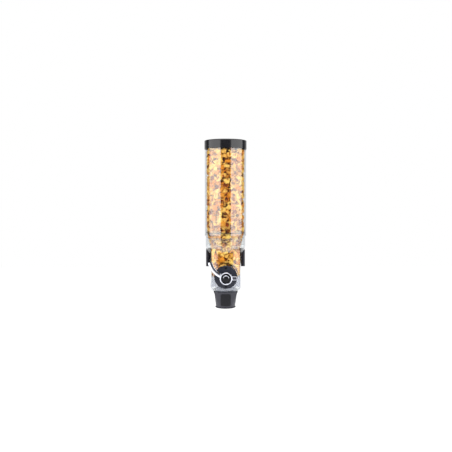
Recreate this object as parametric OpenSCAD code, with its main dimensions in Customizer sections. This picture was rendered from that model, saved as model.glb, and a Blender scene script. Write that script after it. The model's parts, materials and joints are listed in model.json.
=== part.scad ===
// Gravity bulk food bin for a wall
// A clear tube of dry food stands on a clear lower body that hangs in a wall bracket. Turning the lever
// turns a six-blade metering wheel, which drops one pocket of food at a time down the spout.
// Origin: centre of the bracket's wall face. +Z is up and -Y is towards the user.

/* [Hopper tube] */
// Outside diameter of the clear tube
tube_od = 140; // [134:1:170]
// Wall of the tube
tube_wall = 3; // [2:0.5:4]
// Length of the tube
tube_len = 314.2; // [150:0.1:450]

/* [Lid] */
// Depth of the lid's outer skirt below the tube's rim
lid_skirt = 25.7; // [15:0.1:40]
// Thickness of the lid's top
lid_top = 3; // [2:0.5:5]
// Wall of the lid's outer skirt
lid_wall = 1.2; // [1:0.1:3]
// Rounding of the lid's top edge
lid_edge_r = 2.5; // [1:0.1:2.8]
// Depth of the ring that plugs the tube
plug_depth = 16; // [10:1:24]
// Wall of the plug ring
plug_wall = 2; // [1.8:0.1:3]
// Number of stiffening ribs under the lid
lid_ribs = 8; // [4:1:16]

/* [Lower body] */
// Wall of the clear lower body
body_wall = 3; // [2:0.5:4]
// Height of the ledge that the tube stands on
ledge_h = 3; // [2:0.5:6]
// Height of the spigot inside the tube
spigot_h = 14; // [8:1:25]
// Straight height under the ledge, above the bowl's curve
body_straight = 30; // [20:1:60]
// Radius of the bowl's curve
bowl_r = 45; // [38:1:50]
// Distance that the neck's sides stand in from the bowl's widest part
shoulder_side = 15.5; // [13:0.5:18]
// Distance that the neck's front and back stand in from the bowl's widest part
shoulder_front = 8; // [6:0.5:12]
// Height of the neck between the wheel and the bowl
neck_rise = 15; // [12:0.5:40]
// Bow radius of the neck's front and back
neck_face_r = 110; // [100:1:200]
// Corner radius of the neck in plan
neck_corner_r = 17; // [10:1:20]
// Height of the rounded foot of the neck
neck_foot_h = 17; // [10:1:18]
// Distance that the foot draws in on each side
neck_foot_in = 11.2; // [8:0.1:13]
// Height of the chute between the wheel and the neck's outlet
chute_drop = 6.6; // [6:0.1:25]

/* [Funnel] */
// Wall of the funnel
funnel_wall = 1.5; // [1:0.1:2.5]
// Distance that the funnel draws in on each side
funnel_taper = 14.2; // [13:0.1:19]
// Height of the funnel
funnel_h = 49; // [44:1:50]

/* [Metering wheel] */
// Number of blades and pockets
blades = 6; // [5:1:8]
// Thickness of a blade at its root
blade_root_t = 3; // [2:0.1:4]
// Thickness of a blade at its tip
blade_tip_t = 1.6; // [1:0.1:2.5]
// Radius of the soft sleeve that carries the blades
sleeve_r = 13; // [12.6:0.1:16]
// Radius of the wheel's rigid core
core_r = 9.5; // [8.5:0.1:10]
// Radius of the drive shaft
shaft_r = 5; // [4:0.1:5.5]
// Depth of the drive flat on the shaft
flat_depth = 1.5; // [0.8:0.1:2]
// Wall of the trough and its drum
trough_t = 1.2; // [1:0.1:1.5]
// Half angle of the trough's outlet, seen from the axis
outlet_angle = 30; // [20:1:34]

/* [Front cover] */
// Diameter of the round cover
cover_d = 77; // [70:1:80]
// Thickness of the cover in front of the neck
cover_t = 6; // [5:0.5:9]
// Rise of the cover's domed face
cover_dome = 1.5; // [0.5:0.1:2.5]
// Radius of the circle that the two cover screws lie on
cover_screw_pcr = 30.5; // [28:0.5:31]
// Radius of the cover's spigot
cover_spigot_r = 19.8; // [16:0.1:21]

/* [Lever] */
// Outside radius of the chrome ring
ring_r = 20.5; // [19.5:0.5:23]
// Width of the chrome ring's face
ring_w = 4; // [3:0.1:5]
// Distance of the ring's back from the cover's face
hub_len = 14; // [10:1:24]
// Depth of the chrome ring
ring_depth = 17; // [14:0.5:22]
// Centre of the arm's arc, to the right of the hub
arm_cx = 10.6; // [8:0.1:13]
// Centre of the arm's arc, above the hub
arm_cz = 66; // [64:0.5:68]
// Radius of the arm's centre line
arm_r = 64; // [62:0.5:66]
// Width of the arm
arm_w = 14.5; // [12:0.5:16]
// Thickness of the arm
arm_t = 9; // [6:0.5:11]
// Direction of the arm's tip, seen from its arc's centre
arm_tip_angle = 192; // [185:1:205]
// Length of the short tail from the hub's centre
tail_len = 36.7; // [32:0.1:42]
// Height of the tail
tail_h = 13; // [12:0.1:15]

/* [Spout] */
// Height of the spout
spout_h = 60; // [45:1:90]
// Diameter of the round exit
exit_d = 65; // [56:0.1:70]
// Wall of the spout
spout_wall = 2.5; // [2:0.1:3]
// Width of the bare panel on the spout's front
panel_w = 34; // [20:1:40]
// Height of the bare panel
panel_h = 42; // [25:1:44]

/* [Wall bracket] */
// Height of the bracket
bracket_h = 55; // [45:1:70]
// Width of each side arm
arm_side_w = 13.3; // [9:0.1:16]
// Thickness of the wall plate
plate_t = 6; // [5:0.5:9]
// Distance from the wall to the tube
wall_gap = 12; // [11:0.5:30]
// Distance that the arms reach past the tube's axis
arm_reach = 6; // [0:1:25]
// Sideways distance between the wall screws
screw_dx = 80; // [64:1:84]
// Upright distance between the wall screws
screw_dz = 34; // [26:1:38]
// Radius of the wall screw holes
screw_hole_r = 2.75; // [2:0.05:3.25]
// Thickness of the rubber cradle pads
pad_t = 1.5; // [1:0.1:3]

/* [Hidden] */
$fn = 96;
foot_fn = 72;      // sides of the circles inside a blended foot
eps = 0.01;

// Clearances
seat = 0.3;        // between a piece and what it rests on or lies against
glue_fit = 0.15;   // round a spigot inside a tube
run_fit = 0.05;    // a shaft turning in a bush
wheel_gap = 0.8;   // between the blades and the drum
lift_gap = 1.5;    // between the neck and the bracket's arms
seal_room = 0.1;   // round an O-ring in its groove

// Colours
charcoal = [0.19, 0.19, 0.21];
black = [0.13, 0.12, 0.15];
clear = [0.86, 0.91, 0.93, 0.35];
frosted = [0.82, 0.83, 0.88];
silicone = [0.75, 0.76, 0.78];
chrome = [0.85, 0.86, 0.9];
acetal = [0.92, 0.92, 0.9];
steel = [0.68, 0.68, 0.7];
seal_grey = [0.3, 0.3, 0.32];

// Hopper and lower body
tube_or = tube_od / 2;
body_r = tube_or - tube_wall;              // the body is as wide as the tube's bore
wall_y = tube_or + wall_gap;               // from the tube's axis back to the wall
saddle_rise = 2.5;                         // from the bracket's centre to the bowl's lowest point
bowl_z = saddle_rise + bowl_r;
bowl_cr = body_r - bowl_r;
ledge_z = bowl_z + body_straight;
tube_z = ledge_z + ledge_h;
tube_top = tube_z + tube_len;

// The wheel is built inwards from the neck
neck_hw = body_r - shoulder_side;
neck_hd = body_r - shoulder_front;
insert_in = body_wall + seat;              // outside of what fits in the neck
trough_in = insert_in + trough_t;
drum_in = trough_in + seat + trough_t;     // inside of the drum, which hangs free of the trough's wall
blade_in = drum_in + wheel_gap;
wheel_r = neck_hw - blade_in;
wheel_w = 2 * (neck_hd - blade_in);
wheel_z = saddle_rise - neck_rise - wheel_r;
outlet_z = wheel_z - wheel_r - chute_drop;

// Rounded foot of the neck
foot_z = outlet_z + neck_foot_h;
foot_r = (pow(neck_foot_in, 2) + pow(neck_foot_h, 2)) / (2 * neck_foot_in);
foot_steps = 5;
foot_flange = 2;                           // thickness of the ledge that the spigot hangs from
least_corner = 3;

// Metering parts, measured forwards from the tube's axis
lug_r = 14;
boss_r = 11;
bush_wall = 3;
bush_r = shaft_r + bush_wall;
flange_t = 1;
core_back = -wheel_w / 2 + 4.7;
core_front = wheel_w / 2 - 1.6;
key_h = 2;
key_w = 3;
washer_t = 1.5;
drum_front = neck_hd - drum_in;

// Front cover
cover_r = cover_d / 2;
cover_skin = 2.5;
cover_front = neck_hd + cover_t;
boss_front = cover_front + cover_dome + 2.5;
cover_boss_r = 12;
screw_boss_r = 4.5;
screw_boss_h = 3;
screw_r = 1.5;
screw_head_r = 3.6;
screw_head_t = 2;

// Lever
hub_back = cover_front + cover_dome + 0.4;
ring_back = cover_front + cover_dome + hub_len;
ring_front = ring_back + ring_depth;
web_t = 4;
arm_front = ring_front - 2;
arm_corner = 2.5;
arm_edge_r = 7;                            // rounding of the arm's front edge, outside the curve
inlay_w = 5;
inlay_off = 3.2;                           // the inlay lies towards the inside of the curve
inlay_t = 1.5;
inlay_sink = 1.2;
tail_frame = 2.4;
cap_r = ring_r - ring_w;
cap_rise = 5.5;
cap_skirt = 5;
cap_z = ring_front - cap_rise - 1;         // foot of the cap's dome
cap_sphere = (pow(cap_r, 2) + pow(cap_rise, 2)) / (2 * cap_rise);
arc_r = 9.3;
arc_w = 2.6;
shaft_front = ring_back + web_t - 0.5;
lever_screw_len = 12;

// Spout
gasket_t = 1;
spout_top = outlet_z - gasket_t - 0.1;
spout_bottom = outlet_z - spout_h;
rim_h = 2;
rim_out = 0.3;
collar_h = 8;
collar_in = 2.8;                           // the collar draws in this far below its rim
collar_z = spout_top - collar_h;
socket_h = 6;
socket_wall = 3.6;
exit_r = exit_d / 2;
lip_h = 3.5;
lip_out = 2.4;
lip_z = spout_bottom + lip_h - 1;
spigot_in = neck_foot_in + socket_wall + seat;
spigot_wall = 2;
spigot_drop = 5.5;
chute_in = spigot_in + spigot_wall + seat;
snap_r = 1.5;
snap_out = 0.9;
panel_t = 1;
panel_r = 5;
panel_z = (spout_top + spout_bottom) / 2 + 0.5;

// Lid
lid_z = tube_top - lid_skirt;
lid_h = lid_skirt + seat + lid_top;
lid_r = tube_or + glue_fit + lid_wall;
plug_r = body_r - 1.5;
rib_h = 4;
rib_t = 1.6;

// Wall bracket
bracket_w = 2 * (neck_hw + lift_gap + arm_side_w);
bracket_low = -bracket_h / 2;
block_w = 40;
stem_w = 12;
head_w = 26;
lip_t = 6;
head_t = 5.4;
rail_h = 40;
head_y = neck_hd + lip_t;                  // front of the rail's head, behind the axis
cradle = pad_t + seat;                     // from the bowl to the saddle

// Places its children on the tube's axis, with the wall at +wall_y
module on_tube_axis() translate([0, -wall_y, 0]) children();

// Places its children on the wheel's axis: X to the right, Y up and Z towards the user
module on_wheel_axis() on_tube_axis() translate([0, 0, wheel_z]) rotate([90, 0, 0]) children();

module ring(r_out, r_in, h) difference() {
  cylinder(r = r_out, h = h);
  translate([0, 0, -1]) cylinder(r = r_in, h = h + 2);
}

module torus(centre_r, section_r) rotate_extrude() translate([centre_r, 0]) circle(section_r, $fn = 32);

// O-ring lying in a groove in the outside of a spigot of radius r, and the groove
module o_ring(r, section_r) torus(r - section_r + seal_room, section_r);

module o_ring_groove(r, section_r) translate([0, 0, -section_r - seal_room])
  ring(r + 1, r - 2 * section_r, 2 * (section_r + seal_room));

module rounded_rect(w, h, r) {
  square([w - 2 * r, h], center = true);
  square([w, h - 2 * r], center = true);
  for (sx = [-1, 1], sy = [-1, 1]) translate([sx * (w / 2 - r), sy * (h / 2 - r)]) circle(r);
}

// Plan of the neck, drawn d inside its outer face: flat sides, bowed front and back, round corners
module neck_plan(d = 0) {
  c = max(neck_corner_r - d, least_corner);
  r = neck_face_r - d;
  bow = neck_face_r - neck_hd;
  cx = neck_hw - d - c;
  cy = sqrt(pow(r - c, 2) - pow(cx, 2)) - bow;
  mid = cx * bow / (cy + bow);
  square([2 * (cx + c), 2 * cy], center = true);
  for (sx = [-1, 1], sy = [-1, 1]) translate([sx * cx, sy * cy]) circle(c);
  for (side = [0, 1]) mirror([0, side]) translate([0, -bow]) intersection() {
    circle(r);
    polygon([[mid, bow], [2 * cx, 2 * (cy + bow)], [-2 * cx, 2 * (cy + bow)], [-mid, bow]]);
  }
}

// The neck's plan spun about the wheel's axis: the barrel shape that the wheel turns in
module drum(d) rotate_extrude() intersection() {
  neck_plan(d);
  translate([0, -neck_hd]) square(2 * neck_hd);
}

// Upright neck with its rounded foot, drawn d inside its outer face
module neck(d = 0) {
  translate([0, 0, foot_z]) linear_extrude(bowl_z - foot_z) neck_plan(d);
  hull() for (k = [0 : foot_steps]) {
    z = foot_z - k / foot_steps * neck_foot_h;
    draw_in = foot_r - sqrt(pow(foot_r, 2) - pow(foot_z - z, 2));
    translate([0, 0, z - eps]) linear_extrude(2 * eps) neck_plan(d + draw_in, $fn = foot_fn);
  }
}

// Half section of the bowl, drawn d inside its outer face
module bowl_section(d, top) {
  translate([0, bowl_z]) square([body_r - d, top - bowl_z]);
  translate([0, bowl_z - bowl_r + d]) square([bowl_cr, bowl_r - d]);
  intersection() {
    translate([bowl_cr, bowl_z]) circle(bowl_r - d);
    translate([bowl_cr, bowl_z - bowl_r]) square([bowl_r, bowl_r]);
  }
}

module bowl(d, top = ledge_z + ledge_h) rotate_extrude() bowl_section(d, top);

// Rail with a T section on the neck's back, which slides down into the bracket
module rail(gap = 0) {
  low = -rail_h / 2 - gap;
  translate([-stem_w / 2 - gap, neck_hd - body_wall + 1, low])
    cube([stem_w + 2 * gap, lip_t + body_wall, rail_h + gap]);
  translate([-head_w / 2 - gap, head_y - gap, low])
    cube([head_w + 2 * gap, head_t + 2 * gap, rail_h + gap]);
}

module wall_screw_places() for (sx = [-1, 1], sz = [-1, 1])
  translate([sx * screw_dx / 2, wall_y - plate_t, sz * screw_dz / 2]) rotate([-90, 0, 0]) children();

module side_arm(front, back, w) {
  x = neck_hw + lift_gap;
  translate([x, front + w / 2]) square([w, back - front - w / 2]);
  translate([x + w / 2, front + w / 2]) circle(w / 2);
}

module wall_bracket() color(black) on_tube_axis() difference() {
  union() {
    translate([-bracket_w / 2, wall_y - plate_t, bracket_low]) cube([bracket_w, plate_t, bracket_h]);
    for (side = [0, 1]) mirror([side, 0, 0]) translate([0, 0, bracket_low])
      linear_extrude(bracket_h) side_arm(-arm_reach, wall_y - 1, arm_side_w);
    translate([-block_w / 2, neck_hd - 6, bracket_low])
      cube([block_w, wall_y - plate_t - neck_hd + 7, bracket_h]);
  }
  // room for the neck and, above it, a saddle for the bowl
  translate([0, 0, bracket_low - 1]) linear_extrude(bracket_h + 2) neck_plan(-seat);
  bowl(-cradle, bowl_z + bowl_r);
  // slot for the rail, open at the top, with a lead-in across its mouth
  rail(seat);
  translate([0, 0, rail_h / 2]) rail(seat);
  translate([-head_w / 2 - seat, head_y + head_t, bracket_h / 2]) rotate([45, 0, 0])
    cube([head_w + 2 * seat, 3, 3]);
  // the arms are hollow from the back
  for (side = [0, 1]) mirror([side, 0, 0]) translate([0, 0, bracket_low + 3])
    linear_extrude(bracket_h / 2 + 5) translate([neck_hw + lift_gap + 3, -arm_reach + 6])
      square([arm_side_w - 6, wall_y + arm_reach]);
  wall_screw_places() {
    translate([0, 0, -1]) cylinder(r = screw_hole_r, h = plate_t + 2);
    translate([0, 0, -eps]) cylinder(r1 = 2 * screw_hole_r, r2 = screw_hole_r, h = screw_hole_r);
  }
}

// Rubber strips that line the saddle under the bowl
module cradle_pads() color(seal_grey) on_tube_axis() intersection() {
  difference() {
    bowl(-cradle, bowl_z + bowl_r);
    bowl(-seat, bowl_z + bowl_r + 1);
  }
  for (side = [0, 1]) mirror([side, 0, 0]) translate([0, 0, bracket_low])
    linear_extrude(bracket_h - 1) translate([1, 0]) side_arm(0, wall_y - plate_t - 4, arm_side_w - 2);
}

module hopper_tube() color(clear) on_tube_axis() translate([0, 0, tube_z]) difference() {
  cylinder(r = tube_or, h = tube_len);
  translate([0, 0, -1]) cylinder(r = body_r, h = tube_len + 2);
  // polished lead-in at the rim, for the lid's plug
  translate([0, 0, tube_len - 1]) cylinder(r1 = body_r - eps, r2 = body_r + 1.1, h = 1.1);
}

seal_r = 0.8;
seal_z = tube_z + spigot_h / 2;

module tube_seal() color(seal_grey) on_tube_axis() translate([0, 0, seal_z])
  o_ring(body_r - glue_fit, seal_r);

module lower_body() color(clear) on_tube_axis() {
  difference() {
    union() {
      bowl(0);
      neck();
      translate([0, 0, ledge_z]) cylinder(r = tube_or, h = ledge_h);
      translate([0, 0, tube_z - 1]) cylinder(r = body_r - glue_fit, h = spigot_h + 1);
      translate([0, 0, outlet_z - spigot_drop]) linear_extrude(spigot_drop + 3) neck_plan(spigot_in);
      for (side = [-1, 1]) translate([side * (neck_hw - spigot_in), 0, outlet_z - spigot_drop / 2 - 1])
        rotate([0, side * 90, 0]) translate([0, 0, -1]) cylinder(r = snap_r, h = 1 + snap_out, $fn = 32);
      rail();
      for (side = [-1, 1]) translate([0, 0, wheel_z + side * cover_screw_pcr]) rotate([90, 0, 0])
        translate([0, 0, neck_hd - body_wall + 1])
          cylinder(r = screw_boss_r, h = screw_boss_h + body_wall - 1);
    }
    bowl(body_wall, tube_z + spigot_h + 1);
    difference() {
      neck(body_wall);
      translate([0, 0, outlet_z - 1]) linear_extrude(foot_flange + 1) neck_plan();
    }
    translate([0, 0, outlet_z - spigot_drop - 1]) linear_extrude(neck_foot_h)
      neck_plan(spigot_in + spigot_wall);
    // groove for the tube's seal
    translate([0, 0, seal_z]) o_ring_groove(body_r - glue_fit, seal_r);
    // front hole for the cover's spigot, and its two screws
    translate([0, 0, wheel_z]) rotate([90, 0, 0]) translate([0, 0, neck_hd - 12])
      cylinder(r = cover_spigot_r + 0.2, h = 20);
    for (side = [-1, 1]) translate([0, 0, wheel_z + side * cover_screw_pcr]) rotate([90, 0, 0])
      translate([0, 0, neck_hd - body_wall + 0.8]) cylinder(r = screw_r + 0.1, h = 10, $fn = 32);
  }
  // ledge inside for the funnel's flange
  translate([0, 0, funnel_top - funnel_wall - 2])
    ring(body_r - body_wall + 1, body_r - body_wall - 2, 2 - seat);
}

funnel_top = ledge_z - 6;
funnel_r = body_r - body_wall - seat;

module funnel() color(clear) on_tube_axis() rotate_extrude() polygon([
  [funnel_r - 2 - funnel_wall, funnel_top],
  [funnel_r, funnel_top],
  [funnel_r, funnel_top - funnel_wall],
  [funnel_r - 2, funnel_top - funnel_wall],
  [funnel_r - funnel_taper, funnel_top - funnel_h],
  [funnel_r - funnel_taper - funnel_wall, funnel_top - funnel_h]
]);

// Ring between two plans of the neck
module plan_ring(d_out, d_in, h) linear_extrude(h) difference() {
  neck_plan(d_out);
  neck_plan(d_in);
}

// Right half of the drum's wall in section, out to the radius r
module drum_section(r) intersection() {
  difference() {
    neck_plan(drum_in - trough_t);
    neck_plan(drum_in);
  }
  translate([0, -neck_hd]) square([r, 2 * neck_hd]);
}

// Half drum under the wheel, hung in a wall by its rim, with a chute below and a bearing lug at each end
module metering_trough() color(frosted) on_tube_axis() difference() {
  union() {
    translate([0, 0, foot_z]) plan_ring(insert_in, trough_in, wheel_z - foot_z);
    translate([0, 0, wheel_z - rim_t]) plan_ring(insert_in, drum_in - trough_t / 2, rim_t);
    difference() {
      translate([0, 0, outlet_z - spigot_drop + 2])
        plan_ring(chute_in, chute_in + trough_t, foot_z - outlet_z);
      translate([0, 0, wheel_z]) rotate([90, 0, 0]) drum(drum_in - trough_t / 2);
    }
    translate([0, 0, wheel_z]) rotate([90, 0, 0]) {
      rotate([0, 0, 180]) rotate_extrude(angle = 180) drum_section(neck_hw);
      rotate_extrude(angle = 180) drum_section(lug_r);
      translate([0, 0, -drum_front - trough_t / 2]) cylinder(r = boss_r, h = boss_len);
    }
  }
  // outlet slot
  translate([-outlet_hw, -outlet_hd, wheel_z - drum_r - 2 * trough_t])
    cube([2 * outlet_hw, 2 * outlet_hd, drum_r + trough_t - lug_r]);
  // bores for the rear bush and the shaft
  translate([0, 0, wheel_z]) rotate([90, 0, 0]) {
    translate([0, 0, -neck_hd]) cylinder(r = bush_r + run_fit, h = neck_hd);
    cylinder(r = shaft_r + 0.6, h = neck_hd);
  }
}

rim_t = 1.5;
drum_r = wheel_r + wheel_gap;
outlet_hw = drum_r * sin(outlet_angle);
outlet_hd = neck_hd - chute_in - trough_t - 3;
boss_len = drum_front + trough_t / 2 + core_back - flange_t - 0.3;

module bush(len) difference() {
  union() {
    cylinder(r = bush_r, h = len);
    translate([0, 0, len - eps]) cylinder(r = bush_r + 1.6, h = flange_t + eps);
  }
  translate([0, 0, -1]) cylinder(r = shaft_r + run_fit, h = len + flange_t + 2);
}

rear_bush_back = -neck_hd + insert_in + 0.4;

module rear_bush() color(acetal) on_wheel_axis() translate([0, 0, rear_bush_back])
  bush(core_back - flange_t - 0.3 - rear_bush_back);

spigot_back = neck_hd - body_wall + 0.2;

module front_bush() color(acetal) on_wheel_axis() translate([0, 0, spigot_back])
  bush(boss_front - spigot_back);

// Round cover, hollow behind its face, with a skirt cut to the bowed front of the neck
module front_cover() color(charcoal) on_tube_axis() difference() {
  translate([0, 0, wheel_z]) rotate([90, 0, 0]) difference() {
    union() {
      rotate_extrude() cover_section();
      translate([0, 0, neck_hd]) cylinder(r = cover_boss_r, h = boss_front - neck_hd);
    }
    translate([0, 0, neck_hd - cover_r]) difference() {
      cylinder(r = cover_r - cover_skin, h = cover_r + cover_t - cover_skin);
      cylinder(r = cover_spigot_r, h = 2 * cover_r);
      for (side = [-1, 1]) translate([0, side * cover_screw_pcr, cover_r + screw_boss_h + 0.1])
        cylinder(r = screw_boss_r + 2, h = cover_t);
    }
    translate([0, 0, spigot_back + groove_z]) o_ring_groove(cover_spigot_r, cover_seal_r);
    translate([0, 0, spigot_back - 1]) cylinder(r = bush_r + run_fit, h = boss_front);
    for (side = [-1, 1]) translate([0, side * cover_screw_pcr, neck_hd]) {
      cylinder(r = screw_r + 0.4, h = 2 * cover_t, $fn = 32);
      translate([0, 0, cover_t - screw_head_t - 0.5]) cylinder(r = screw_head_r + 0.5, h = cover_t);
    }
  }
  // the skirt's edge follows the neck, and only the spigot goes through it
  difference() {
    translate([0, 0, wheel_z - cover_r - 1]) linear_extrude(2 * cover_r + 2) neck_plan(-0.2);
    translate([0, 0, wheel_z]) rotate([90, 0, 0]) translate([0, 0, spigot_back])
      cylinder(r = cover_spigot_r, h = cover_t);
  }
}

cover_seal_r = 0.8;
groove_z = 1.5;                            // from the spigot's back to the middle of its groove

// Half section of the cover: round edge and a low dome
module cover_section() {
  edge = 1.8;
  dome_r = (pow(cover_r, 2) + pow(cover_dome, 2)) / (2 * cover_dome);
  square([cover_r - edge, cover_front]);
  square([cover_r, cover_front - edge]);
  translate([cover_r - edge, cover_front - edge]) circle(edge, $fn = 48);
  polygon([
    [0, 0],
    [cover_r - edge, 0],
    for (k = [8 : -1 : 0]) let (x = k / 8 * (cover_r - edge))
      [x, cover_front + cover_dome - dome_r + sqrt(pow(dome_r, 2) - pow(x, 2))]
  ]);
}

module cover_seal() color(seal_grey) on_wheel_axis() translate([0, 0, spigot_back + groove_z])
  o_ring(cover_spigot_r, cover_seal_r);

// Pan head screw with a cross recess: the head's seat is at z = 0 and the shank points down
module pan_screw(shank_r, shank_len, head_r, head_t) difference() {
  union() {
    translate([0, 0, -shank_len]) cylinder(r = shank_r, h = shank_len + eps, $fn = 32);
    cylinder(r = head_r, h = head_t - 0.6);
    translate([0, 0, head_t - 0.6 - eps]) cylinder(r1 = head_r, r2 = head_r - 0.8, h = 0.6);
  }
  for (turn = [0, 90]) rotate([0, 0, turn]) translate([-head_r * 0.55, -0.4, head_t - 1.2])
    cube([head_r * 1.1, 0.8, 2]);
}

module cover_screws() color(steel) on_wheel_axis() for (side = [-1, 1])
  translate([0, side * cover_screw_pcr, cover_front - screw_head_t - 0.4])
    pan_screw(screw_r, cover_t - screw_head_t + body_wall - 1.4, screw_head_r, screw_head_t);

// Distance that the spout's collar has drawn in at the height z
function collar_draw(z) = collar_in * (spout_top - rim_h - z) / (collar_h - rim_h);

// Thin slice of the spout, wall inside its outer face
module spout_slice(z, draw, wall) translate([0, 0, z - eps]) linear_extrude(2 * eps)
  neck_plan(neck_foot_in + draw + wall, $fn = foot_fn);

// Collar under the rim, from the height top down
module spout_collar(top, wall) hull() {
  spout_slice(top, collar_draw(top), wall);
  spout_slice(collar_z, collar_in, wall);
}

// Taper from the collar down to the round exit
module spout_taper(wall, top = collar_z, bottom = lip_z) hull() {
  spout_slice(top, collar_in, wall);
  translate([0, 0, bottom]) cylinder(r = exit_r - wall, h = eps, $fn = foot_fn);
}

module spout() color(charcoal) on_tube_axis() difference() {
  union() {
    translate([0, 0, spout_top - rim_h]) linear_extrude(rim_h) neck_plan(neck_foot_in - rim_out);
    spout_collar(spout_top - rim_h, 0);
    spout_taper(0);
    translate([0, 0, spout_bottom]) rotate_extrude() {
      square([exit_r + lip_out - lip_h / 2, lip_h]);
      translate([exit_r + lip_out - lip_h / 2, lip_h / 2]) circle(lip_h / 2, $fn = 32);
    }
  }
  // socket for the neck's spigot, then the room for the falling food
  translate([0, 0, spout_top - socket_h]) linear_extrude(socket_h + 1) neck_plan(neck_foot_in + socket_wall);
  spout_collar(spout_top - socket_h, spout_wall);
  spout_taper(spout_wall);
  translate([0, 0, spout_bottom - 1]) cylinder(r = exit_r - spout_wall, h = lip_h + 1);
  // recesses for the neck's two snaps
  for (side = [-1, 1]) translate([side * (neck_hw - spigot_in), 0, outlet_z - spigot_drop / 2 - 1])
    rotate([0, side * 90, 0]) cylinder(r = snap_r + seat, h = snap_out + seat, $fn = 32);
}

module spout_seal() color(seal_grey) on_tube_axis() translate([0, 0, outlet_z - gasket_t - 0.05])
  plan_ring(neck_foot_in + 0.2, spigot_in - 0.2, gasket_t);

// Bare panel that follows the spout's front
module spout_panel() color(charcoal) on_tube_axis() intersection() {
  difference() {
    spout_taper(-panel_t);
    spout_taper(-glue_fit, collar_z + 0.2, lip_z - 0.2);
  }
  translate([0, 0, panel_z]) rotate([90, 0, 0]) linear_extrude(neck_hd)
    rounded_rect(panel_w, panel_h, panel_r);
}

// Round shaft section with its drive flat
module drive_section(grow = 0) intersection() {
  circle(shaft_r + grow);
  translate([-2 * shaft_r, -2 * shaft_r]) square([4 * shaft_r, 3 * shaft_r - flat_depth + grow]);
}

module wheel_shaft() color(steel) on_wheel_axis() difference() {
  union() {
    translate([0, 0, rear_bush_back + 0.3]) cylinder(r = shaft_r, h = core_back - rear_bush_back);
    translate([0, 0, core_back]) linear_extrude(core_front - core_back) drive_section();
    translate([0, 0, core_front - eps]) cylinder(r = shaft_r, h = boss_front + flange_t + 0.5 - core_front);
    translate([0, 0, boss_front + flange_t])
      linear_extrude(shaft_front - boss_front - flange_t) drive_section();
  }
  translate([0, 0, shaft_front - lever_screw_len])
    cylinder(r = screw_r + 0.1, h = lever_screw_len + 1, $fn = 32);
}

// Section of the wheel's core: a round hub with a key under each blade
module core_section(grow = 0) {
  circle(core_r + grow);
  for (k = [0 : blades - 1]) rotate(k * 360 / blades) translate([0, -key_w / 2 - grow])
    square([core_r + key_h + grow, key_w + 2 * grow]);
}

module wheel_core() color(acetal) on_wheel_axis() difference() {
  translate([0, 0, core_back]) linear_extrude(core_front - core_back) core_section();
  translate([0, 0, core_back - 1]) linear_extrude(core_front - core_back + 2) drive_section(0.1);
}

// Tapered blade in the plane of the axis, its edge cut to the drum
module blade() intersection() {
  rotate([90, 0, 0]) translate([0, 0, -blade_root_t]) linear_extrude(2 * blade_root_t) intersection() {
    neck_plan(blade_in);
    translate([0, -neck_hd]) square(2 * neck_hd);
  }
  translate([0, 0, -neck_hd]) linear_extrude(2 * neck_hd) polygon([
    [0, -blade_root_t / 2], [wheel_r + 1, -blade_tip_t / 2],
    [wheel_r + 1, blade_tip_t / 2], [0, blade_root_t / 2]
  ]);
}

module paddle_wheel() color(silicone) on_wheel_axis() difference() {
  union() {
    translate([0, 0, core_back]) cylinder(r = sleeve_r, h = core_front - core_back);
    for (k = [0 : blades - 1]) rotate(k * 360 / blades) blade();
  }
  translate([0, 0, -neck_hd]) linear_extrude(2 * neck_hd) core_section(0.1);
  // room for the bearing boss behind and the washer in front
  translate([0, 0, -neck_hd - 1]) cylinder(r = boss_r + 0.8, h = neck_hd + 1 + core_back - eps);
  translate([0, 0, core_front + eps]) cylinder(r = core_r + 0.6, h = 20);
}

module thrust_washer() color(acetal) on_wheel_axis() translate([0, 0, core_front + 0.15])
  ring(core_r - 0.5, shaft_r + 0.3, washer_t);

module hub_body() color(charcoal) on_wheel_axis() difference() {
  translate([0, 0, hub_back]) cylinder(r1 = cap_r - 1, r2 = ring_r - 1.5, h = ring_back - hub_back - 0.05);
  translate([0, 0, hub_back - 1])
    cylinder(r = cover_boss_r + 0.6, h = boss_front + flange_t + 0.4 - hub_back + 1);
  translate([0, 0, hub_back - 1]) linear_extrude(ring_back) drive_section(0.1);
}

// Short tail opposite the arm, drawn d inside its outline, with its lower edge the longer one
module tail_plan(d = 0) {
  low = -5.5;
  corner = tail_h / 2 - 0.4;
  x = tail_len - corner;
  top = low + tail_h - corner;
  translate([cap_r - 1, low + d]) square([x - cap_r + 1, tail_h - 2 * d]);
  translate([x, low + d]) square([corner - d, tail_h - corner - d]);
  translate([x, top]) circle(corner - d);
}

arm_root_angle = 249;

// Sweeps a section drawn at its radius along the arm
module along_arm(a1, a2) translate([arm_cx, arm_cz, 0]) rotate([0, 0, a1])
  rotate_extrude(angle = a2 - a1, $fn = 160) children();

// Section of the arm: a rounded bar with a full, soft edge on the outside of the curve
module arm_section() intersection() {
  rounded_rect(arm_w, arm_t, arm_corner, $fn = 32);
  translate([arm_w / 2 - arm_edge_r, arm_t / 2 - arm_edge_r]) {
    circle(arm_edge_r);
    translate([-2 * arm_w, -2 * arm_t]) square([2 * arm_w, 4 * arm_t]);
    translate([-2 * arm_w, -2 * arm_t]) square([4 * arm_w, 2 * arm_t]);
  }
}

module lever_arm() along_arm(arm_tip_angle, arm_root_angle)
  translate([arm_r, arm_front - arm_t / 2]) arm_section();

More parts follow.
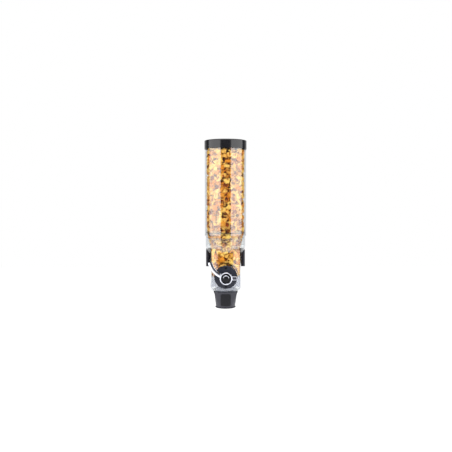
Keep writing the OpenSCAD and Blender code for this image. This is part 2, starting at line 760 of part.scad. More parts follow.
module lever() color(chrome) on_wheel_axis() difference() {
  union() {
    // ring with a rounded front edge, and the web that the shaft drives
    translate([0, 0, ring_back]) rotate_extrude() {
      square([ring_r - ring_w / 2, web_t]);
      translate([cap_r, 0]) square([ring_w, ring_depth - ring_w / 2]);
      translate([ring_r - ring_w / 2, ring_depth - ring_w / 2]) circle(ring_w / 2, $fn = 48);
    }
    difference() {
      union() {
        lever_arm();
        translate([0, 0, arm_front - arm_t]) linear_extrude(arm_t) tail_plan();
      }
      translate([0, 0, ring_back]) cylinder(r = ring_r - ring_w / 2, h = 2 * ring_depth);
    }
  }
  translate([0, 0, ring_back - 1]) linear_extrude(web_t + 2) drive_section(0.1);
  // recesses for the two inlays
  along_arm(arm_tip_angle + 1.5, inlay_end_angle)
    translate([arm_r - inlay_off - inlay_w / 2 - 0.1, arm_front - inlay_sink]) square([inlay_w + 0.2, 5]);
  translate([0, 0, arm_front - inlay_sink]) linear_extrude(5) tail_recess(0);
}

inlay_end_angle = 240;

module tail_recess(d) intersection() {
  tail_plan(tail_frame + d);
  translate([ring_r + 0.6 + d, -tail_h]) square(2 * tail_h);
}

module arm_inlay() color(charcoal) on_wheel_axis() along_arm(arm_tip_angle + 1.7, inlay_end_angle - 0.2)
  translate([arm_r - inlay_off - inlay_w / 2, arm_front - inlay_sink + 0.05]) {
    square([inlay_w, inlay_t - 0.5]);
    translate([0.5, 0]) square([inlay_w - 1, inlay_t]);
  }

module tail_inlay() color(charcoal) on_wheel_axis() translate([0, 0, arm_front - inlay_sink + 0.05])
  linear_extrude(inlay_t) tail_recess(0.15);

module lever_screw() color(steel) on_wheel_axis() translate([0, 0, ring_back + web_t + 0.05])
  pan_screw(screw_r, lever_screw_len - 2, 6.5, 2.6);

// Domed cap that snaps into the ring
module hub_cap() color(charcoal) on_wheel_axis() translate([0, 0, cap_z - cap_skirt]) difference() {
  union() {
    cylinder(r = cap_r - 0.1, h = cap_skirt + eps);
    intersection() {
      translate([0, 0, cap_skirt + cap_rise - cap_sphere]) sphere(cap_sphere);
      translate([0, 0, cap_skirt]) cylinder(r = cap_r - 0.1, h = cap_rise + 1);
    }
  }
  translate([0, 0, -1]) cylinder(r = cap_r - 1.8, h = cap_skirt + 1);
  arc_groove(0.1);
}

// Arc mark set in the cap, following its dome
module arc_groove(grow) translate([0, 0, cap_skirt]) rotate([0, 0, 12]) rotate_extrude(angle = 156)
  translate([arc_r - arc_w / 2 - grow, arc_low - grow]) square([arc_w + 2 * grow, 3]);

arc_low = cap_rise - cap_sphere + sqrt(pow(cap_sphere, 2) - pow(arc_r, 2)) - 0.8;

module cap_arc() color(chrome) on_wheel_axis() translate([0, 0, cap_z]) rotate([0, 0, 12])
  rotate_extrude(angle = 156) translate([arc_r, arc_low]) {
    translate([-arc_w / 2, 0]) square([arc_w, 0.8]);
    translate([0, 0.7]) intersection() {
      circle(arc_w / 2, $fn = 32);
      translate([-arc_w, 0]) square(2 * arc_w);
    }
  }

module lid() color(charcoal) on_tube_axis() translate([0, 0, lid_z]) difference() {
  union() {
    rotate_extrude() difference() {
      union() {
        square([lid_r, lid_h - lid_edge_r]);
        square([lid_r - lid_edge_r, lid_h]);
        translate([lid_r - lid_edge_r, lid_h - lid_edge_r]) circle(lid_edge_r, $fn = 48);
      }
      translate([0, -1]) square([plug_r - plug_wall, lid_h - lid_top + 1]);
      translate([plug_r, -1]) square([tube_or + glue_fit - plug_r, lid_h - lid_top + 1]);
      translate([0, -1]) square([plug_r + 1, lid_h - lid_top - plug_depth + 1]);
      // shallow dish in the top
      translate([0, lid_h - 0.8]) square([lid_r - 7, 2]);
    }
    for (k = [0 : lid_ribs - 1]) rotate([0, 0, k * 360 / lid_ribs])
      translate([8, -rib_t / 2, lid_h - lid_top - rib_h])
        cube([plug_r - 8 - plug_wall / 2, rib_t, rib_h + 1]);
    translate([0, 0, lid_h - lid_top - rib_h]) cylinder(r = 10, h = rib_h + 1);
  }
  translate([0, 0, lid_seal_z - lid_seal_r]) ring(plug_r + 1, plug_r - 0.8, 2 * lid_seal_r);
}

lid_seal_r = 1;
lid_seal_z = lid_h - lid_top - plug_depth + 5;

module lid_seal() color(seal_grey) on_tube_axis() translate([0, 0, lid_z + lid_seal_z])
  torus(plug_r + 0.25, lid_seal_r - 0.02);

wall_bracket();
cradle_pads();
hopper_tube();
tube_seal();
lower_body();
funnel();
metering_trough();
rear_bush();
front_cover();
cover_seal();
cover_screws();
front_bush();
spout();
spout_seal();
spout_panel();
wheel_shaft();
wheel_core();
paddle_wheel();
thrust_washer();
hub_body();
lever();
arm_inlay();
tail_inlay();
lever_screw();
hub_cap();
cap_arc();
lid();
lid_seal();
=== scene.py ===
"""Gravity bulk food bin: the finishes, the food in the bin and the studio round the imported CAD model."""

import json
import math
import random

import bmesh
import bpy
from mathutils import Matrix, Vector


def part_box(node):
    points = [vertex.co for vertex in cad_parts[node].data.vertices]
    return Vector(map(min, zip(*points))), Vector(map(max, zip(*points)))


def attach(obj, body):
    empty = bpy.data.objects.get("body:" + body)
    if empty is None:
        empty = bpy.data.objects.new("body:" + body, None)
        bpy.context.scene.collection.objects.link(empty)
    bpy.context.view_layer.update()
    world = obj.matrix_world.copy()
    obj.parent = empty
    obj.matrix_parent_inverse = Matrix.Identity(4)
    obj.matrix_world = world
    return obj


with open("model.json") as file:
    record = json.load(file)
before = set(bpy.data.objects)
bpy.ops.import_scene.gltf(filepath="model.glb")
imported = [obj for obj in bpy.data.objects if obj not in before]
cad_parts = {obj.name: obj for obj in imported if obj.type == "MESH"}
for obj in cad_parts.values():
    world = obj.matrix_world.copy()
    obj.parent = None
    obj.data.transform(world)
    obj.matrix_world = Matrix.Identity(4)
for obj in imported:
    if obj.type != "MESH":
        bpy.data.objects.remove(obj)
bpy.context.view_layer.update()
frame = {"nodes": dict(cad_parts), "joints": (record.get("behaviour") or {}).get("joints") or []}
MM = 0.001
nodes = frame["nodes"]

# Places taken from the frame
tube_low, tube_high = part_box("hopper_tube")
funnel_low, funnel_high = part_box("funnel")
lid_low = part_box("lid")[0]
tube_axis = Vector(((tube_low.x + tube_high.x) / 2, (tube_low.y + tube_high.y) / 2, 0))
wheel_axis = Vector(next(j["pos_m"] for j in frame["joints"] if j["name"] == "wheel_turn"))
tube_r = (tube_high.x - tube_low.x) / 2
wheel_low, wheel_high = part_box("paddle_wheel")
wheel_r = (wheel_high.x - wheel_low.x) / 2
wheel_half_d = min(wheel_high.y - wheel_axis.y, wheel_axis.y - wheel_low.y)
trough_low, trough_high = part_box("metering_trough")


def srgb(code):
    """Linear colour of an sRGB hex code."""
    shares = [int(code[i : i + 2], 16) / 255 for i in (1, 3, 5)]
    return (*[s / 12.92 if s <= 0.04045 else ((s + 0.055) / 1.055) ** 2.4 for s in shares], 1.0)


def add(tree, kind, inputs=None, **options):
    """Adds a node to the tree; each input gets a value, or a link from another node's output."""
    made = tree.nodes.new("ShaderNode" + kind)
    for name, value in options.items():
        setattr(made, name, value)
    for name, value in (inputs or {}).items():
        if isinstance(value, bpy.types.NodeSocket):
            tree.links.new(value, made.inputs[name])
        else:
            made.inputs[name].default_value = value
    return made


def new_material(name):
    made = bpy.data.materials.new(name)
    made.use_nodes = True
    made.node_tree.nodes.clear()
    return made, made.node_tree


# ---------------------------------------------------------------- finishes


def clear_plastic(name, edge, gloss):
    """Water-clear plastic: light passes, both skins mirror the softboxes, and it greys towards its edges."""
    made, tree = new_material(name)
    facing = add(tree, "LayerWeight", {"Blend": 0.5})
    grazing = add(tree, "Math", {0: facing.outputs["Facing"], 1: 6.0}, operation="POWER")
    mirror = add(tree, "Math", {0: grazing.outputs[0], 1: 0.85, 2: gloss}, operation="MULTIPLY_ADD")
    depth = add(tree, "Math", {0: facing.outputs["Facing"], 1: 7.0}, operation="POWER")
    tint = add(tree, "MixRGB", {0: depth.outputs[0], 1: srgb("#fcfdfd"), 2: srgb(edge)})
    through = add(tree, "BsdfTransparent", {"Color": tint.outputs[0]})
    shine = add(tree, "BsdfGlossy", {"Color": (1, 1, 1, 1), "Roughness": 0.02})
    skin = add(tree, "MixShader", {0: mirror.outputs[0], 1: through.outputs[0], 2: shine.outputs[0]})
    add(tree, "OutputMaterial", {"Surface": skin.outputs[0]})
    return made


def moulded(name, colour, wear_and_shade, roughness, grain_mm, grain, ior=1.5):
    """Injection-moulded plastic: an even colour, a fine grain from the tool and cloudy traces of handling; on
    the heap's core both tones are painted shade.
    """
    made, tree = new_material(name)
    place = add(tree, "TexCoord")
    where = place.outputs["Object"]
    cloud = add(tree, "TexNoise", {"Vector": where, "Scale": 1 / (14 * MM), "Detail": 5.0})
    shade = add(tree, "MixRGB", {0: cloud.outputs[0], 1: srgb(colour), 2: srgb(wear_and_shade)})
    gloss = add(
        tree, "MapRange",
        {
            "Value": cloud.outputs[0], "From Min": 0.3, "From Max": 0.7,
            "To Min": roughness * 0.85, "To Max": roughness * 1.2,
        },
    )
    speck = add(tree, "TexNoise", {"Vector": where, "Scale": 1 / (grain_mm * MM), "Detail": 3.0})
    relief = add(tree, "Bump", {"Height": speck.outputs[0], "Strength": grain, "Distance": 0.1 * MM})
    plastic = add(
        tree, "BsdfPrincipled",
        {
            "Base Color": shade.outputs[0], "Roughness": gloss.outputs[0], "IOR": ior,
            "Normal": relief.outputs[0],
        },
    )
    add(tree, "OutputMaterial", {"Surface": plastic.outputs[0]})
    return made


def translucent(name, colour, clear):
    """Soft clear rubber: cloudy, and mostly lets what lies behind it show."""
    made, tree = new_material(name)
    place = add(tree, "TexCoord")
    haze = add(tree, "TexNoise", {"Vector": place.outputs["Object"], "Scale": 1 / (6 * MM), "Detail": 2.0})
    relief = add(tree, "Bump", {"Height": haze.outputs[0], "Strength": 0.1, "Distance": 0.1 * MM})
    rubber = add(
        tree, "BsdfPrincipled", {"Base Color": srgb(colour), "Roughness": 0.4, "Normal": relief.outputs[0]}
    )
    through = add(tree, "BsdfTransparent", {"Color": (1, 1, 1, 1)})
    soft = add(tree, "MixShader", {0: clear, 1: rubber.outputs[0], 2: through.outputs[0]})
    add(tree, "OutputMaterial", {"Surface": soft.outputs[0]})
    return made


def bright_metal(name, colour, roughness, grain_mm, grain, along=(1, 1, 1)):
    """Bare or plated metal: its colour is its shine, broken only by fine polishing marks."""
    made, tree = new_material(name)
    place = add(tree, "TexCoord")
    turned = add(tree, "Mapping", {"Vector": place.outputs["Object"], "Scale": along})
    marks = add(tree, "TexNoise", {"Vector": turned.outputs[0], "Scale": 1 / (grain_mm * MM), "Detail": 4.0})
    gloss = add(
        tree, "MapRange",
        {
            "Value": marks.outputs[0], "From Min": 0.3, "From Max": 0.7,
            "To Min": roughness * 0.7, "To Max": roughness * 1.4,
        },
    )
    relief = add(tree, "Bump", {"Height": marks.outputs[0], "Strength": grain, "Distance": 0.02 * MM})
    metal = add(
        tree, "BsdfPrincipled",
        {
            "Base Color": srgb(colour), "Metallic": 1.0, "Roughness": gloss.outputs[0],
            "Normal": relief.outputs[0],
        },
    )
    add(tree, "OutputMaterial", {"Surface": metal.outputs[0]})
    return made


def fried_dough(name):
    """Fried corn and wheat dough: golden skin, browner ridges and pores, and painted shade: a dark brown
    where the dough faces into its hollows.
    """
    made, tree = new_material(name)
    place = add(tree, "TexCoord")
    toast = add(tree, "Attribute", attribute_name="toast")
    hollow = add(tree, "Attribute", attribute_name="hollow")
    where = place.outputs["Object"]
    patches = add(tree, "TexNoise", {"Vector": where, "Scale": 1 / (9 * MM), "Detail": 3.0})
    pores = add(tree, "TexNoise", {"Vector": where, "Scale": 1 / (1.6 * MM), "Detail": 2.0})
    browning = add(tree, "Math", {0: patches.outputs[0], 1: 0.7, 2: -0.2}, operation="MULTIPLY_ADD")
    browned = add(
        tree, "Math", {0: toast.outputs["Fac"], 1: browning.outputs[0]}, operation="ADD", use_clamp=True
    )
    skin = add(tree, "MixRGB", {0: browned.outputs[0], 1: srgb("#ffd970"), 2: srgb("#dc8812")})
    # Painted shade: points that face into the bit's hollows turn dark brown
    inside = add(tree, "MixRGB", {0: hollow.outputs["Fac"], 1: skin.outputs[0], 2: srgb("#a85006")})
    relief = add(tree, "Bump", {"Height": pores.outputs[0], "Strength": 0.5, "Distance": 0.6 * MM})
    crust = add(
        tree, "BsdfPrincipled",
        {"Base Color": inside.outputs[0], "Roughness": 0.45, "IOR": 1.3, "Normal": relief.outputs[0]},
    )
    add(tree, "OutputMaterial", {"Surface": crust.outputs[0]})
    return made


# Extruded and polished: clear as water, with sharp bright bands
tube_acrylic = clear_plastic("extruded_clear_acrylic", "#a3a7b8", 0.095)
# Injection moulded: as clear, with fainter reflections than the tube's
body_resin = clear_plastic("moulded_clear_copolyester", "#a6aabb", 0.048)
# Moulded thinner: hardly seen but for its paler edges
funnel_resin = clear_plastic("moulded_clear_funnel", "#c3c6d2", 0.03)
# From a polished tool: near black, with crisp highlights
lid_plastic = moulded("glossy_charcoal_abs", "#121215", "#17171b", 0.14, 1.2, 0.05, ior=1.6)
# From a satin tool: a bluish charcoal with broad soft highlights
cover_plastic = moulded("slate_charcoal_abs", "#23252f", "#2a2c37", 0.32, 0.8, 0.1, ior=1.38)
# From a satin tool: charcoal, and lighter than the lid
spout_plastic = moulded("satin_charcoal_abs", "#2e2e36", "#35353d", 0.36, 0.8, 0.12, ior=1.36)
# From a finely eroded tool: darker and duller than the spout round it
panel_plastic = moulded("dark_satin_abs", "#121216", "#17171b", 0.42, 0.8, 0.1, ior=1.26)
# Stiff and filled with glass: black with a dull, slightly rough skin
bracket_plastic = moulded("black_glass_filled_nylon", "#11101a", "#181722", 0.45, 0.6, 0.3, ior=1.33)
# A soft coat on the grips: dark and without shine
inlay_plastic = moulded("soft_touch_grip", "#2b2c36", "#33343e", 0.5, 0.5, 0.3)
# From a blasted tool: an even lavender grey that scatters light
frosted_plastic = moulded("frosted_polypropylene", "#878a99", "#8f92a0", 0.55, 1.0, 0.05)
# Turned from natural rod: milky white and satin
acetal = moulded("natural_acetal", "#e4e3da", "#ecebe4", 0.38, 0.7, 0.1)
# Moulded soft: cloudy, and nearly as clear as the body
silicone = translucent("translucent_clear_silicone", "#c4c6cc", 0.72)
# Moulded seals: dull black
seal_rubber = moulded("black_nitrile_rubber", "#232326", "#2c2c2f", 0.6, 0.6, 0.3)
# Plated over a polished casting: a mirror, a little bluish
chrome = bright_metal("bright_chrome_plate", "#c9cbd5", 0.07, 6, 0.05)
# Drawn and ground bar: fine marks that run along the shaft
steel = bright_metal("drawn_stainless_steel", "#bdbdbf", 0.28, 0.5, 0.25, along=(1, 0.05, 1))
# Oxide black: dark, with a dim metal shine
black_steel = bright_metal("blackened_screw_steel", "#2e2e33", 0.38, 0.5, 0.25)
# Fried in oil: golden, blistered and browner on its ridges
food_crust = fried_dough("fried_golden_dough")
# The same dough deep in the heap, painted a mottled dark brown as the shade between the bits
core_painted_shade = moulded("dough_core_painted_shade", "#5a2604", "#9c540e", 0.7, 6, 0.8, ior=1.3)

finish_of = {
    "wall_bracket": bracket_plastic, "cradle_pads": seal_rubber, "hopper_tube": tube_acrylic,
    "tube_seal": seal_rubber, "lower_body": body_resin, "funnel": funnel_resin,
    "metering_trough": frosted_plastic, "rear_bush": acetal, "front_cover": cover_plastic,
    "cover_seal": seal_rubber, "cover_screws": black_steel, "front_bush": acetal, "spout": spout_plastic,
    "spout_seal": seal_rubber, "spout_panel": panel_plastic, "wheel_shaft": steel, "wheel_core": acetal,
    "paddle_wheel": silicone, "thrust_washer": acetal, "hub_body": cover_plastic, "lever": chrome,
    "arm_inlay": inlay_plastic, "tail_inlay": inlay_plastic, "lever_screw": steel,
    "hub_cap": panel_plastic, "cap_arc": chrome, "lid": lid_plastic, "lid_seal": seal_rubber,
}
for name, finish in finish_of.items():
    nodes[name].data.materials.clear()
    nodes[name].data.materials.append(finish)


# ---------------------------------------------------------------- food

# Outlines of the bits of dough, in mm out from their axis and up it
cup_profile = [(0, 0), (5, 0.8), (7.4, 4), (8.8, 9), (10.8, 13.5), (9.6, 14), (7.6, 9.6), (6, 5), (0, 2.4)]
ring_profile = [(9.6, -4), (10.4, 0), (9.6, 4), (6.6, 4.6), (5.6, 0), (6.6, -4.6), (9.6, -4)]
shell_profile = [(6.4, -7), (8.2, -4.4), (7.2, -2), (8.8, 0), (7.2, 2), (8.2, 4.4), (6.4, 7)]


def spun(profile, steps, turn=360.0, wall=0.0):
    """A bit of dough: a profile (out, up) in mm spun round Z, given a wall if it has none."""
    bm = bmesh.new()
    line = [bm.verts.new((x * MM, 0, z * MM)) for x, z in profile]
    edges = [bm.edges.new(pair) for pair in zip(line, line[1:])]
    bmesh.ops.spin(
        bm, geom=line + edges, cent=(0, 0, 0), axis=(0, 0, 1), angle=math.radians(turn), steps=steps,
        use_merge=turn == 360.0,
    )
    bmesh.ops.remove_doubles(bm, verts=bm.verts, dist=0.01 * MM)
    if wall:
        bmesh.ops.solidify(bm, geom=bm.faces[:], thickness=wall * MM)
    bmesh.ops.recalc_face_normals(bm, faces=bm.faces)
    bm.normal_update()
    return bm


def with_hollow(bm):
    """The mesh of a bit, centred, with its points that look inwards marked for painted shade in its hollows.
    """
    painted_shade_mark = bm.verts.layers.float.new("hollow")
    for v in bm.verts:
        out = Vector((v.co.x, v.co.y, 0))
        inwards = -v.normal.dot(out.normalized()) if out.length > 0.1 * MM else 1.0
        # Painted shade mask: 1 where a point faces into the bit's hollows, 0 where it faces out
        v[painted_shade_mark] = max(0.0, min(1.0, inwards * 1.5))
    bm.verts.layers.float.new("toast")
    middle = sum((v.co for v in bm.verts), Vector()) / len(bm.verts)
    bmesh.ops.translate(bm, vec=-middle, verts=bm.verts)
    made = bpy.data.meshes.new("dough")
    bm.to_mesh(made)
    bm.free()
    return made


def fluted(lobes, out, flute, length, wall):
    """A short ridged tube of dough, sizes in mm."""
    bm = bmesh.new()
    turn = math.pi / lobes
    radii = [(out + flute * (-1) ** k) * MM for k in range(2 * lobes)]
    rim = [bm.verts.new((r * math.cos(k * turn), r * math.sin(k * turn), 0)) for k, r in enumerate(radii)]
    edges = [bm.edges.new((a, b)) for a, b in zip(rim, rim[1:] + rim[:1])]
    grown = bmesh.ops.extrude_edge_only(bm, edges=edges)["geom"]
    far_rim = [part for part in grown if isinstance(part, bmesh.types.BMVert)]
    bmesh.ops.translate(bm, vec=(0, 0, length * MM), verts=far_rim)
    bmesh.ops.solidify(bm, geom=bm.faces[:], thickness=wall * MM)
    bmesh.ops.recalc_face_normals(bm, faces=bm.faces)
    bm.normal_update()
    return bm


cup = with_hollow(spun(cup_profile, 10))
ring = with_hollow(spun(ring_profile, 9))
shell = with_hollow(spun(shell_profile, 5, turn=215, wall=1.4))
flute = with_hollow(fluted(7, 6.2, 0.7, 17, 1.3))
food_shapes = [cup, cup, cup, ring, shell, flute]  # half of the bits are cups
bit_sizes = (0.92, 1.18)


def random_turn(rng):
    axis = Vector((rng.gauss(0, 1), rng.gauss(0, 1), rng.gauss(0, 1))).normalized()
    return Matrix.Rotation(rng.uniform(0, 2 * math.pi), 4, axis)


def spread(rng, inside, low, high, apart, tries):
    """Random points in a region, no two closer than apart."""
    cells, kept = {}, []
    for _ in range(tries):
        p = Vector([rng.uniform(a, b) for a, b in zip(low, high)])
        if not inside(p):
            continue
        key = tuple(int(c // apart) for c in p)
        near = (
            q
            for dx in (-1, 0, 1) for dy in (-1, 0, 1) for dz in (-1, 0, 1)
            for q in cells.get((key[0] + dx, key[1] + dy, key[2] + dz), ())
        )
        if all((p - q).length > apart for q in near):
            cells.setdefault(key, []).append(p)
            kept.append(p)
    return kept


def heap(name, points, press, body, rng):
    """One piece of many bits of food, pressed back where they would touch what holds them."""
    bm = bmesh.new()
    for p in points:
        start = len(bm.verts)
        bm.from_mesh(rng.choice(food_shapes))
        bm.verts.ensure_lookup_table()
        bit = bm.verts[start:]
        size = rng.uniform(*bit_sizes)
        place = Matrix.Translation(p) @ random_turn(rng) @ Matrix.Scale(size, 4)
        bmesh.ops.transform(bm, matrix=place, verts=bit)
        toast = bm.verts.layers.float["toast"]
        browned = rng.random() ** 1.4  # more bits are pale than brown
        for v in bit:
            v[toast] = browned
            v.co = press(v.co)
    for f in bm.faces:
        f.smooth = True
    mesh = bpy.data.meshes.new(name)
    bm.to_mesh(mesh)
    bm.free()
    mesh.materials.append(food_crust)
    made = bpy.data.objects.new(name, mesh)
    scene.collection.objects.link(made)
    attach(made, body)


# The tube and the funnel
food_top = lid_low.z + 4 * MM
highest_bit = food_top + 3 * MM
funnel_floor = funnel_low.z
funnel_foot_r = 47.4 * MM
funnel_rim_r = 60 * MM
tube_room_r = 64.2 * MM
widening_h = 26 * MM  # from the funnel's rim to where the food fills the tube
wall_gap = 4 * MM  # from the wall to the middle of a bit
skin_depth = 20 * MM  # how deep the bits go, in front of the core
edge_drop = 8 * MM  # from the top of the food to the heap's edge
mound_h = 6 * MM
# The neck, above the trough's rim and the wheel
neck_half_w = (trough_high.x - trough_low.x) / 2 - 0.3 * MM
neck_half_d = (trough_high.y - trough_low.y) / 2 - 0.6 * MM
neck_bow_r = 106 * MM
neck_corner_r = 13 * MM
neck_side_gap = 2 * MM  # from the walls to the middle of a bit
neck_face_gap = 6 * MM
rim_top = wheel_axis.z + 0.5 * MM
lowest_in_neck = wheel_axis.z + 4 * MM
wheel_clear = wheel_r + 0.6 * MM
# The pockets between the blades, inside a drum with bowed ends
pocket_r = wheel_r - 0.4 * MM
pocket_core_r = 15.5 * MM
pocket_bow_r = 98 * MM
pocket_corner_r = 4 * MM
pocket_low_r = 22 * MM  # where the middles of the bits lie
pocket_high_r = wheel_r - 6 * MM
pocket_half_d = 44 * MM
blade_turn = math.radians(60)
blade_gap = 7 * MM
blade_clear = 2.2 * MM  # from the middle of a blade to the food


def room_r(z):
    """Radius that the food fills at a height in the tube and the funnel."""
    up = min(max((z - funnel_floor) / (funnel_high.z - funnel_floor), 0), 1)
    in_funnel = funnel_foot_r + up * (funnel_rim_r - funnel_foot_r)
    rise = min(max((z - funnel_high.z) / widening_h, 0), 1)
    return in_funnel + rise * (tube_room_r - in_funnel)


def press_in_tube(co):
    """Keeps food inside the tube's and the funnel's walls and under the lid."""
    out = Vector((co.x - tube_axis.x, co.y - tube_axis.y, 0))
    limit = room_r(co.z)
    if out.length > limit:
        out *= limit / out.length
    return Vector((tube_axis.x + out.x, tube_axis.y + out.y, min(co.z, highest_bit)))


def bowed_half(middle, bow_r, side, corner_r, across):
    """Half depth of a bowed, round-cornered plan at a distance across from its middle."""
    corner = max(across - (side - corner_r), 0)
    bow = middle - bow_r + math.sqrt(bow_r**2 - across**2)
    return bow - corner_r + math.sqrt(max(corner_r**2 - corner**2, 0))


def press_in_neck(co):
    """Keeps food between the neck's walls, on the trough's rim and off the circle that the blades sweep."""
    x = max(-neck_half_w, min(neck_half_w, co.x - tube_axis.x))
    half_d = bowed_half(neck_half_d, neck_bow_r, neck_half_w, neck_corner_r, abs(x))
    y = max(-half_d, min(half_d, co.y - tube_axis.y))
    up = Vector((tube_axis.x + x - wheel_axis.x, 0, co.z - wheel_axis.z))
    if up.length < wheel_clear:
        up *= wheel_clear / max(up.length, 1e-6)
    return Vector((wheel_axis.x + up.x, tube_axis.y + y, max(wheel_axis.z + up.z, rim_top)))


def press_in_pocket(co):
    """Keeps food between two blades, inside the bowed ends of the drum."""
    out = Vector((co.x - wheel_axis.x, 0, co.z - wheel_axis.z))
    reach = min(max(out.length, pocket_core_r), pocket_r)
    half_d = bowed_half(wheel_half_d, pocket_bow_r, wheel_r, pocket_corner_r, reach)
    y = max(-half_d, min(half_d, co.y - wheel_axis.y))
    angle = math.atan2(out.z, out.x)
    blade = blade_turn * round(angle / blade_turn)
    off = math.copysign(max(abs(angle - blade), math.asin(blade_clear / reach)), angle - blade)
    return wheel_axis + Vector((math.cos(blade + off) * reach, y, math.sin(blade + off) * reach))


def in_tube_food(p):
    """Near the wall, or near the heap's top, which rises to its middle."""
    out = (p - tube_axis).xy.length
    limit = room_r(p.z) - wall_gap
    deep = limit - out > skin_depth and p.z < food_top - skin_depth - wall_gap
    return out < limit and not deep and p.z < food_top - edge_drop + mound_h * (1 - out / limit)


def in_neck_food(p):
    """Between the neck's walls and over the wheel, down to the trough's rim."""
    x, y = abs(p.x - tube_axis.x), abs(p.y - tube_axis.y)
    over_wheel = (p - wheel_axis).xz.length > wheel_clear and p.z > lowest_in_neck
    return x < neck_half_w - neck_side_gap and y < neck_half_d - neck_face_gap and over_wheel


def in_pocket_food(p):
    """In the three pockets that lie open to the neck."""
    out = p - wheel_axis
    angle = math.atan2(out.z, out.x) % (2 * math.pi)
    beside = out.xz.length * math.sin(blade_turn / 2 - abs(angle % blade_turn - blade_turn / 2))
    between = pocket_low_r < out.xz.length < pocket_high_r and beside > blade_gap
    return between and angle < math.pi and abs(out.y) < pocket_half_d


scene = bpy.context.scene
rng = random.Random(7)
sides = Vector((tube_r, tube_r, 0))
tube_points = spread(
    rng, in_tube_food, tube_axis - sides + Vector((0, 0, funnel_floor + 6 * MM)),
    tube_axis + sides + Vector((0, 0, food_top)), apart=13 * MM, tries=60000,
)
heap("food_in_tube", tube_points, press_in_tube, "bin", rng)
neck_points = spread(
    rng, in_neck_food, tube_axis - sides + Vector((0, 0, wheel_axis.z)),
    tube_axis + sides + Vector((0, 0, funnel_floor + 4 * MM)), apart=11.5 * MM, tries=30000,
)
heap("food_in_neck", neck_points, press_in_neck, "bin", rng)
pocket_points = spread(
    rng, in_pocket_food, wheel_axis - Vector((wheel_r, 50 * MM, 0)),
    wheel_axis + Vector((wheel_r, 50 * MM, wheel_r)), apart=11 * MM, tries=12000,
)
heap("food_in_pockets", pocket_points, press_in_pocket, "wheel", rng)


def heap_core():
    """The middle of the heap, which only shows as shade between the bits."""
    floor, height, steps = funnel_floor + 4 * MM, food_top - 16 * MM - funnel_floor, 24
    heights = [floor + k / steps * height for k in range(steps + 1)]
    bm = bmesh.new()
    outline = [bm.verts.new((room_r(z) - 17 * MM, 0, z)) for z in heights]
    outline = [bm.verts.new((0, 0, heights[0])), *outline, bm.verts.new((0, 0, heights[-1]))]
    edges = [bm.edges.new(pair) for pair in zip(outline, outline[1:])]
    bmesh.ops.spin(
        bm, geom=outline + edges, cent=(0, 0, 0), axis=(0, 0, 1), angle=2 * math.pi, steps=32, use_merge=True
    )
    bmesh.ops.remove_doubles(bm, verts=bm.verts, dist=0.01 * MM)
    bmesh.ops.translate(bm, vec=tube_axis, verts=bm.verts)
    bmesh.ops.recalc_face_normals(bm, faces=bm.faces)
    mesh = bpy.data.meshes.new("food_core")
    bm.to_mesh(mesh)
    bm.free()
    # Painted shade: the core is coloured as the dark between the bits
    mesh.materials.append(core_painted_shade)
    made = bpy.data.objects.new("food_core", mesh)
    scene.collection.objects.link(made)
    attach(made, "bin")


heap_core()

# ---------------------------------------------------------------- camera

camera = bpy.data.objects.new("camera", bpy.data.cameras.new("camera"))
camera.data.sensor_width = 36.0
camera.data.lens = 44.5
# 1.9 m in front of the tube's axis, a little above the middle and a little to its left
eye = Vector((-0.035, -1.982, 0.2065))
looked_at = Vector((0.0017, -0.082, 0.1095))
camera.location = eye
camera.rotation_euler = (looked_at - eye).to_track_quat("-Z", "Y").to_euler()
scene.collection.objects.link(camera)
scene.camera = camera

# ---------------------------------------------------------------- studio

tube_middle = tube_axis + Vector((0, 0, 0.1))


def seen_or_through(tree):
    """The light path, and 1 where it comes from the camera, also through clear plastic."""
    rays = add(tree, "LightPath")
    lines = {0: rays.outputs["Is Camera Ray"], 1: rays.outputs["Is Transmission Ray"]}
    return rays, add(tree, "Math", lines, operation="MAXIMUM")


def softbox(name, width, height, glow, place):
    """A white lamp of one radiance that looks at the tube's middle and that the camera doesn't see."""
    lamp = bpy.data.lights.new(name, "AREA")
    lamp.shape = "RECTANGLE"
    lamp.size, lamp.size_y = width, height
    lamp.energy = glow * math.pi * width * height
    made = bpy.data.objects.new(name, lamp)
    made.location = place
    made.rotation_euler = (tube_middle - place).to_track_quat("-Z", "Y").to_euler()
    made.visible_camera = False
    scene.collection.objects.link(made)


# A tall panel on each side makes the two bright bands that the tube mirrors
panel_turn, panel_far = math.radians(64.5), 1.3
for side in (-1, 1):
    towards = Vector((side * math.sin(panel_turn), -math.cos(panel_turn), 0))
    softbox("softbox", 1.92, 1.7, 2.05, tube_middle + towards * panel_far)

# A broad lamp high in front lights the food between the two bands
front_turn, front_far = math.radians(42), 1.7
towards = Vector((0, -math.cos(front_turn), math.sin(front_turn)))
softbox("front_softbox", 1.6, 1.0, 4.9, tube_middle + towards * front_far)

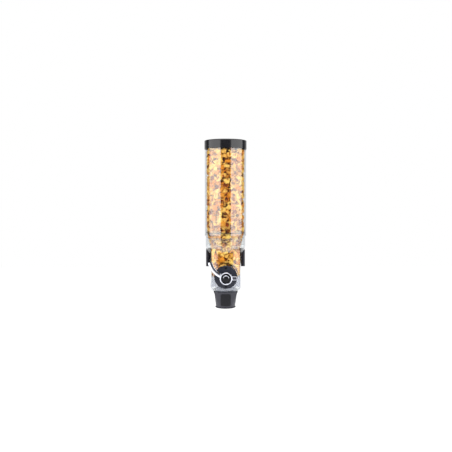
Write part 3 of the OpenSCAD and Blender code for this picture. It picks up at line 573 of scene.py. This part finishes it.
# The room: white where it is seen, and dark in front but light behind where the part mirrors it
world = bpy.data.worlds.new("studio")
world.use_nodes = True
world.node_tree.nodes.clear()
tree = world.node_tree
rays, seen = seen_or_through(tree)
place = add(tree, "TexCoord")
split = add(tree, "SeparateXYZ", {0: place.outputs["Generated"]})
behind = add(
    tree, "MapRange",
    {"Value": split.outputs["Y"], "From Min": 0.5, "From Max": 0.95, "To Min": 0.08, "To Max": 0.85},
)
mirrored = add(tree, "Math", {0: rays.outputs["Is Glossy Ray"], 1: behind.outputs[0]}, operation="MULTIPLY")
white = add(tree, "Math", {0: seen.outputs[0], 1: mirrored.outputs[0]}, operation="ADD")
ambient = add(tree, "Math", {0: rays.outputs["Is Glossy Ray"], 1: -0.2, 2: 0.2}, operation="MULTIPLY_ADD")
level = add(tree, "Math", {0: white.outputs[0], 1: ambient.outputs[0]}, operation="MAXIMUM")
glow = add(tree, "Background", {"Color": (1, 1, 1, 1), "Strength": level.outputs[0]})
add(tree, "OutputWorld", {"Surface": glow.outputs[0]})
scene.world = world

# The floor: white from above, and not there from below
floor_z = -0.8
bm = bmesh.new()
bmesh.ops.create_grid(bm, x_segments=1, y_segments=1, size=6.0)
bmesh.ops.translate(bm, vec=(0, 0, floor_z), verts=bm.verts)
floor_mesh = bpy.data.meshes.new("floor")
bm.to_mesh(floor_mesh)
bm.free()
floor_paint, tree = new_material("white_studio_floor")
matt = add(tree, "BsdfDiffuse", {"Color": (0.9, 0.9, 0.9, 1)})
lit = add(tree, "Emission", {"Color": (1, 1, 1, 1), "Strength": 0.92})
bright = add(tree, "AddShader", {0: matt.outputs[0], 1: lit.outputs[0]})
rays, seen = seen_or_through(tree)
mirrored = add(tree, "Math", {0: seen.outputs[0], 1: rays.outputs["Is Glossy Ray"]}, operation="MAXIMUM")
looked = add(tree, "MixShader", {0: mirrored.outputs[0], 1: matt.outputs[0], 2: bright.outputs[0]})
under = add(tree, "NewGeometry")
gone = add(tree, "BsdfTransparent")
one_sided = add(
    tree, "MixShader", {0: under.outputs["Backfacing"], 1: looked.outputs[0], 2: gone.outputs[0]}
)
add(tree, "OutputMaterial", {"Surface": one_sided.outputs[0]})
floor_mesh.materials.append(floor_paint)
floor = bpy.data.objects.new("floor", floor_mesh)
scene.collection.objects.link(floor)

scene.view_settings.view_transform = "Standard"
